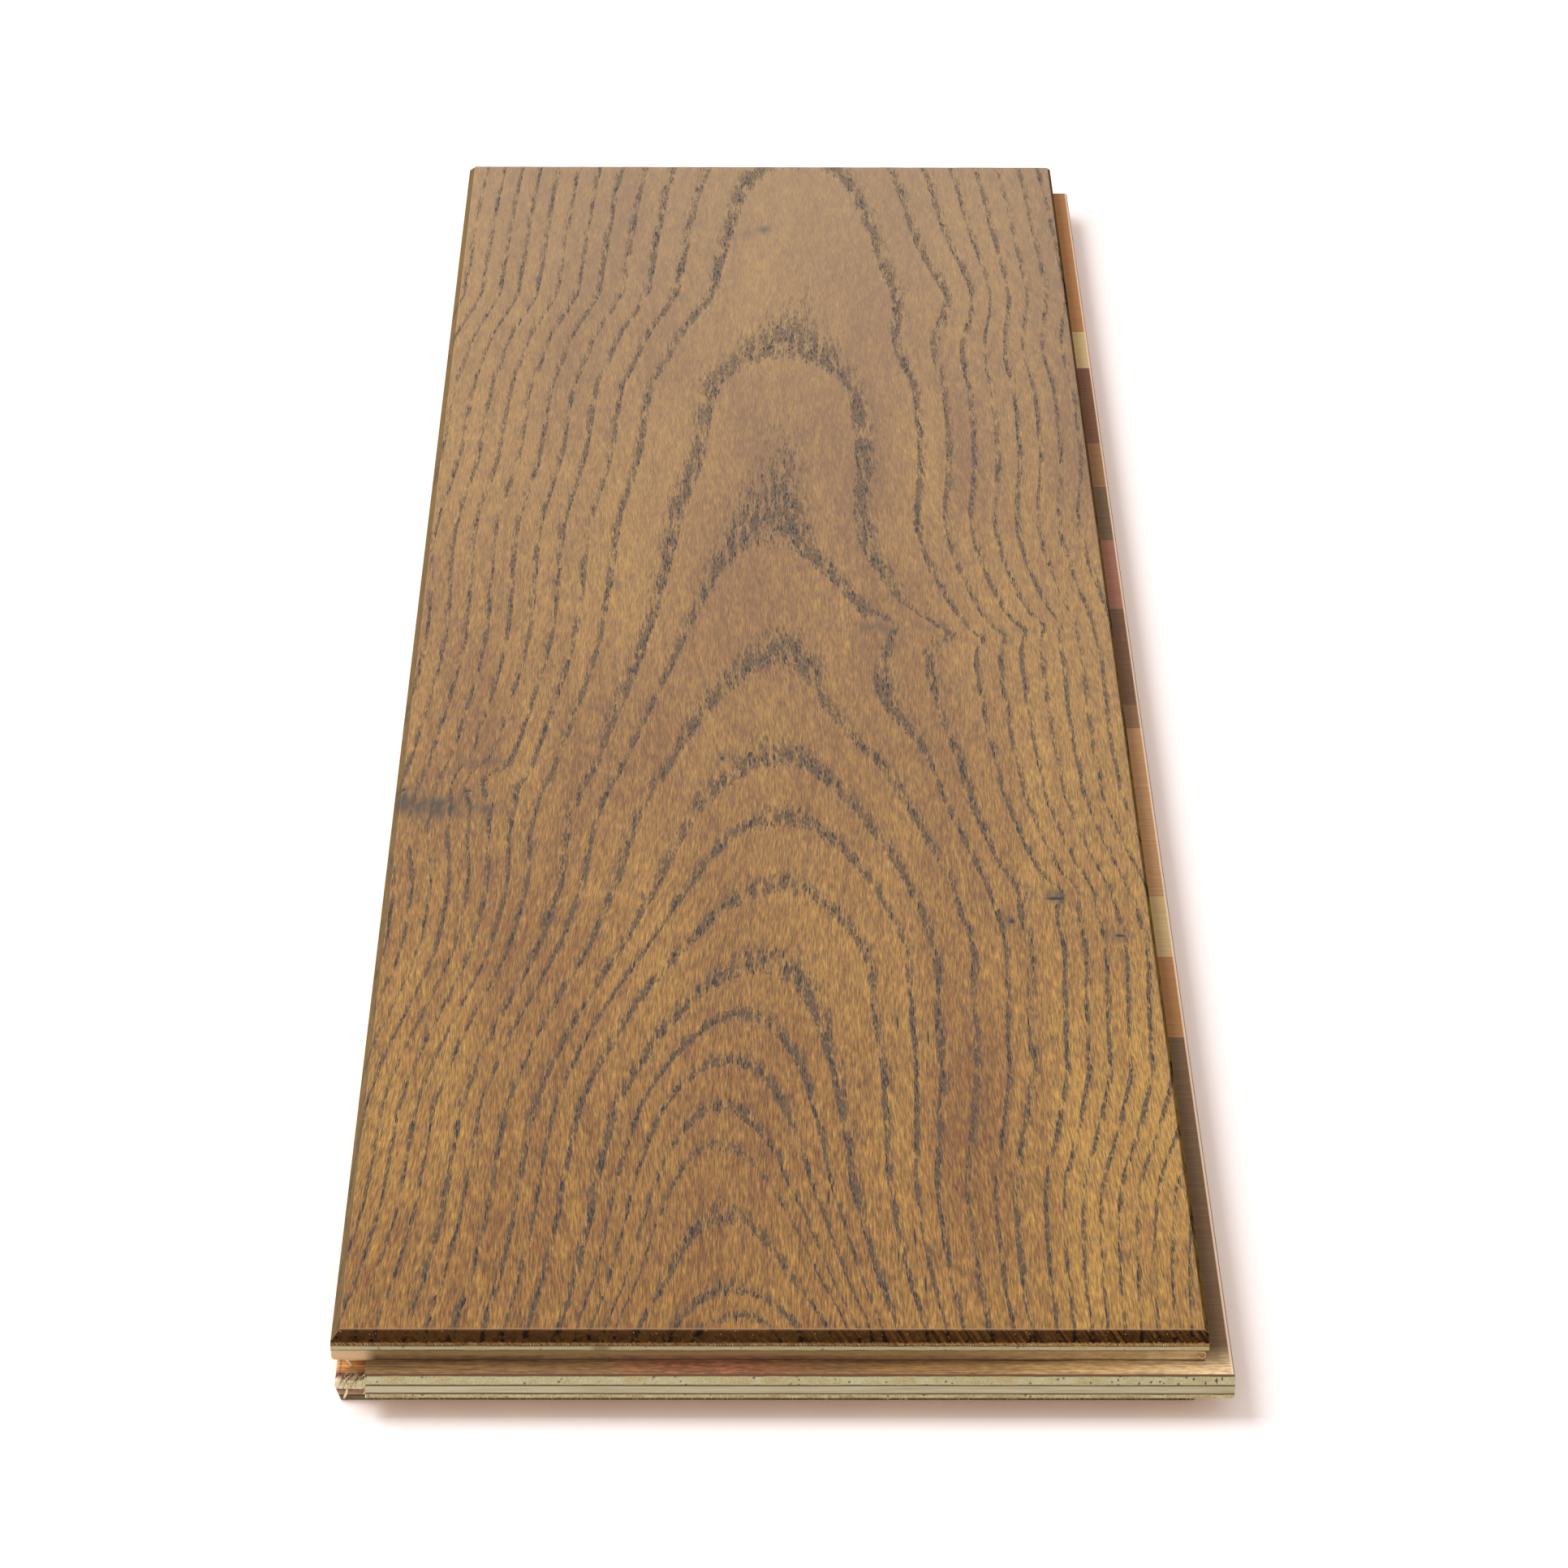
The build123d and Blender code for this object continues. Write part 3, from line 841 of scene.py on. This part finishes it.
def torn_fibres(context, look, material):
    """Piece with every torn fibre, as a plain mesh."""
    points = [point for edge in TORN_EDGES for point in edge[:2]]
    lean = [edge[2] for edge in TORN_EDGES for _ in edge[:2]]
    reach = [edge[3] for edge in TORN_EDGES for _ in edge[:2]]
    mesh = bpy.data.meshes.new("torn_edges")
    mesh.from_pydata((np.array(points) * MM).tolist(), [(i, i + 1) for i in range(0, len(points), 2)], [])
    mesh.attributes.new("lean", "FLOAT_VECTOR", "POINT").data.foreach_set("vector", np.ravel(lean))
    mesh.attributes.new("reach", "FLOAT", "POINT").data.foreach_set("value", reach)
    piece = bpy.data.objects.new("torn_fibres", mesh)
    context.collection.objects.link(piece)
    modifier = piece.modifiers.new("Torn fibres", "NODES")
    modifier.node_group = fibre_tree()
    values = {"Spacing": look.spacing, "Thickness": look.thickness, "Seed": look.seed, "Material": material}
    for socket in modifier.node_group.interface.items_tree:
        if socket.name in values:
            modifier[socket.identifier] = values[socket.name]
    made = piece.evaluated_get(context.evaluated_depsgraph_get())
    plain = bpy.data.meshes.new_from_object(made)
    piece.modifiers.remove(modifier)
    piece.data = plain
    return piece


def sliver(path, side, width, thickness):
    """Points and faces of a flat strip of torn wood that follows a path and narrows to its ends."""
    path, side = np.array(path, float), np.array(side, float)
    side /= np.linalg.norm(side)
    normal = np.cross(np.gradient(path, axis=0), side)
    normal *= thickness / 2 / np.linalg.norm(normal, axis=1, keepdims=True)
    taper = 0.35 + 0.65 * np.sin(np.linspace(0.3, math.pi - 0.3, len(path)))
    half = taper[:, None] * side * width / 2
    corners = [path - half - normal, path + half - normal, path + half + normal, path - half + normal]
    rings = np.stack(corners, axis=1)
    faces = [(0, 1, 2, 3), tuple(4 * len(path) - 1 - i for i in range(4))]
    for r in range(0, 4 * (len(path) - 1), 4):
        faces += [(r + i, r + 4 + i, r + 4 + (i + 1) % 4, r + (i + 1) % 4) for i in range(4)]
    return rings.reshape(-1, 3), faces


# Loose chips: path in millimetres, side, width and thickness.
CHIPS = (
    (
        ((-75.1, -289.6, 4.1), (-74.8, -290.3, 4.25), (-74.4, -291.0, 4.2), (-74.05, -291.6, 4.0)),
        (1, 0.5, 0), 0.35, 0.16,
    ),
    (
        ((-74.6, -296.3, 2.4), (-74.7, -296.5, 1.8), (-74.95, -296.55, 1.1), (-75.2, -296.4, 0.45)),
        (1, 0, 0), 0.5, 0.14,
    ),
)
# Burr at the right end of the near recess: centre of its curl, radius, angles, width and thickness.
BURR_CENTRE = (71.7, -297.4, 9.9)
BURR_RADIUS = 0.6
BURR_START, BURR_END = -0.5, 4.6
BURR_WIDTH = 0.9
BURR_THICKNESS = 0.12


def join_in(context, piece, material):
    """Dress a new piece, link it and let it ride with the board."""
    if piece.name not in context.collection.objects:
        context.collection.objects.link(piece)
    dress(piece, material)
    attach(piece, "root")


class FLOORBOARD_OT_oak_face(bpy.types.Operator):
    """Brushed oak face with its bevels, in place of the plain wear layer"""

    bl_idname = "floorboard.oak_face"
    bl_label = "Oak face"

    def execute(self, context):
        look = context.scene.floorboard_oak
        piece = bpy.data.objects.new("oak_face", oak_mesh(look))
        join_in(context, piece, brushed_oak(look))
        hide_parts("oak_wear_layer")
        return {"FINISHED"}


class FLOORBOARD_OT_core_plies(bpy.types.Operator):
    """Veneer finishes for the plies of the core"""

    bl_idname = "floorboard.core_plies"
    bl_label = "Core plies"

    def execute(self, context):
        look = context.scene.floorboard_core
        # Each ply: material, light and dark tone, whether its grain runs along, pores, other tones.
        plies = {
            "core_ply_1": ("Cream birch veneer", look.cream, linear("#A89A6E"), True, 0.5, end_marks),
            "core_ply_2": ("Brown cross veneer", linear("#B58A58"), look.brown, False, 0.0, tongue_tones),
            "core_ply_3": ("Pale sawn veneer", look.pale, linear("#A8925F"), True, 0.8, end_marks),
            "core_ply_4": ("Pale cross veneer", linear("#C0B393"), linear("#A0916D"), False, 0.4, None),
            "core_ply_5": (
                "Fuzzy sawn veneer", linear("#C5B482"), linear("#937A4A"), True, 0.7, groove_tones
            ),
            "core_ply_6": ("Reddish cross veneer", linear("#B08560"), linear("#80593C"), False, 0.3, None),
            "backing_ply": ("Olive backing veneer", look.backing, linear("#5C4C33"), True, 0.3, None),
        }
        for node, (name, *finish) in plies.items():
            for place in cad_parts[node].material_slots:
                place.material = veneer(look, node, name, *finish)
        return {"FINISHED"}


class FLOORBOARD_OT_torn_wood(bpy.types.Operator):
    """Torn fibres, loose chips and the curled burr"""

    bl_idname = "floorboard.torn_wood"
    bl_label = "Torn fibres and chips"

    def execute(self, context):
        look = context.scene.floorboard_fibres
        pale = torn_wood("Torn bare wood", look.tone)
        join_in(context, torn_fibres(context, look, pale), pale)

        points, faces = [], []
        for chip in CHIPS:
            corners, sides = sliver(*chip)
            faces += [tuple(i + len(points) for i in face) for face in sides]
            points += (corners * MM).tolist()
        mesh = bpy.data.meshes.new("loose_chips")
        mesh.from_pydata(points, [], faces)
        join_in(context, bpy.data.objects.new("loose_chips", mesh), pale)

        turn = np.linspace(BURR_START, BURR_END, 14)
        curl = BURR_RADIUS * np.column_stack([np.sin(turn), 0 * turn, np.cos(turn)])
        corners, sides = sliver(curl + BURR_CENTRE, (0, 1, 0), BURR_WIDTH, BURR_THICKNESS)
        mesh = bpy.data.meshes.new("curled_burr")
        mesh.from_pydata((corners * MM).tolist(), [], sides)
        rubbed = torn_wood("Rubbed orange wood", linear("#F0C68C"))
        join_in(context, bpy.data.objects.new("curled_burr", mesh), rubbed)
        return {"FINISHED"}


# Photograph's view: lens on a 36 mm sensor, angles in degrees, place in millimetres.
SENSOR = 36.0
LENS = 141.39
PITCH = 25.046
YAW = 0.491
ROLL = -0.288
VIEWPOINT = (-8.05, -1209.27, 543.49)

# Lamps, in metres: place, width and height. Each faces the board.
KEY_LAMP = ((-0.95, 0.12, 1.5), 1.2, 0.9)
FILL_LAMP = ((-0.2, -1.9, 0.55), 1.6, 0.8)
PAPER_REACH = 6.0
# The paper lies a hair below the board, so that no faces coincide.
PAPER_TOP = -0.02 * MM


class FLOORBOARD_OT_stage(bpy.types.Operator):
    """Paper floor, soft light and the camera"""

    bl_idname = "floorboard.stage"
    bl_label = "Studio"

    def execute(self, context):
        look = context.scene.floorboard_stage
        self.camera(context)
        self.floor(context, look)
        self.room(context, look)
        self.lamp(context, "key_lamp", look.key_power, *KEY_LAMP)
        self.lamp(context, "fill_lamp", look.fill_power, *FILL_LAMP)
        context.scene.view_settings.view_transform = "Standard"
        return {"FINISHED"}

    def camera(self, context):
        """Camera at the photograph's viewpoint."""
        pitch, yaw, roll = (math.radians(angle) for angle in (PITCH, YAW, ROLL))
        level = math.cos(pitch)
        ahead = np.array([math.sin(yaw) * level, math.cos(yaw) * level, -math.sin(pitch)])
        right = np.array([math.cos(yaw), -math.sin(yaw), 0])
        down = np.cross(ahead, right)
        turned_right = math.cos(roll) * right + math.sin(roll) * down
        turned_down = -math.sin(roll) * right + math.cos(roll) * down
        matrix = np.eye(4)
        matrix[:3, :3] = np.column_stack([turned_right, -turned_down, -ahead])
        matrix[:3, 3] = np.array(VIEWPOINT) * MM
        data = bpy.data.cameras.new("camera")
        data.sensor_width = SENSOR
        data.lens = LENS
        camera = bpy.data.objects.new("camera", data)
        camera.matrix_world = Matrix(matrix.tolist())
        context.collection.objects.link(camera)
        context.scene.camera = camera

    def floor(self, context, look):
        """Sheet of paper that reads as white and still takes the board's shadow."""
        corners = [(-PAPER_REACH, -PAPER_REACH, PAPER_TOP), (PAPER_REACH, -PAPER_REACH, PAPER_TOP)]
        corners += [(PAPER_REACH, PAPER_REACH, PAPER_TOP), (-PAPER_REACH, PAPER_REACH, PAPER_TOP)]
        mesh = bpy.data.meshes.new("paper_floor")
        mesh.from_pydata(corners, [], [(0, 1, 2, 3)])
        floor = bpy.data.objects.new("paper_floor", mesh)
        context.collection.objects.link(floor)
        material, add = blank_material("Matt white paper")
        seen = add("LightPath")
        diffuse = add("BsdfDiffuse", look.paper)
        # Away from the board the paper runs out into white.
        place = add("TexCoord", out=3)
        away = add("VectorMath", place, operation="LENGTH", out=1)
        away = add("MapRange", away, 0.5, 1.2, 0.0, 1.0)
        light = add("Mix", {0: away, 6: look.glow, 7: (1, 1, 1, 1)}, data_type="RGBA", out=2)
        emission = add("Emission", light, seen)
        both = add("AddShader", diffuse, emission)
        add("OutputMaterial", both)
        dress(floor, material)

    def room(self, context, look):
        """Even light all round, which the camera and reflections see as white."""
        world = bpy.data.worlds.new("studio")
        world.use_nodes = True
        world.node_tree.nodes.clear()
        add = partial(put, world.node_tree)
        path = add("LightPath").node.outputs
        seen = add("Math", path["Is Camera Ray"], path["Is Glossy Ray"], operation="MAXIMUM")
        seen = add("Math", seen, path["Is Transmission Ray"], operation="MAXIMUM")
        lit = add("Background", look.room, look.ambient)
        white = add("Background", (1, 1, 1, 1), 1.0)
        both = add("MixShader", seen, lit, white)
        add("OutputWorld", both)
        context.scene.world = world

    def lamp(self, context, name, power, place, width, height):
        """Soft box at a place, facing the board."""
        data = bpy.data.lights.new(name, "AREA")
        data.shape = "RECTANGLE"
        data.size = width
        data.size_y = height
        data.energy = power
        back = np.array(place) / np.linalg.norm(place)
        side = np.cross((0, 0, 1), back)
        side /= np.linalg.norm(side)
        matrix = np.eye(4)
        matrix[:3, :3] = np.column_stack([side, np.cross(back, side), back])
        matrix[:3, 3] = place
        lamp = bpy.data.objects.new(name, data)
        lamp.matrix_world = Matrix(matrix.tolist())
        context.collection.objects.link(lamp)


class FLOORBOARD_PT_sidebar(bpy.types.Panel):
    """Sidebar panel with the board's pieces in order"""

    bl_idname = "FLOORBOARD_PT_sidebar"
    bl_label = "Floorboard"
    bl_space_type = "VIEW_3D"
    bl_region_type = "UI"
    bl_category = "Floorboard"

    def draw(self, context):
        for operator in OPERATORS:
            self.layout.operator(operator.bl_idname)
        for group in SETTINGS:
            self.layout.label(text=group.__doc__)
            settings = getattr(context.scene, SETTINGS[group])
            for name in group.__annotations__:
                self.layout.prop(settings, name)


SETTINGS = {
    FloorboardOak: "floorboard_oak",
    FloorboardCore: "floorboard_core",
    FloorboardFibres: "floorboard_fibres",
    FloorboardStage: "floorboard_stage",
}
OPERATORS = (
    FLOORBOARD_OT_oak_face,
    FLOORBOARD_OT_core_plies,
    FLOORBOARD_OT_torn_wood,
    FLOORBOARD_OT_stage,
)


def register():
    for cls in (*SETTINGS, *OPERATORS, FLOORBOARD_PT_sidebar):
        bpy.utils.register_class(cls)
    for group, name in SETTINGS.items():
        setattr(bpy.types.Scene, name, PointerProperty(type=group))


def unregister():
    for name in SETTINGS.values():
        delattr(bpy.types.Scene, name)
    for cls in reversed((*SETTINGS, *OPERATORS, FLOORBOARD_PT_sidebar)):
        bpy.utils.unregister_class(cls)


def main():
    register()
    bpy.ops.floorboard.oak_face()
    bpy.ops.floorboard.core_plies()
    bpy.ops.floorboard.torn_wood()
    bpy.ops.floorboard.stage()


if __name__ == "__main__":
    main()
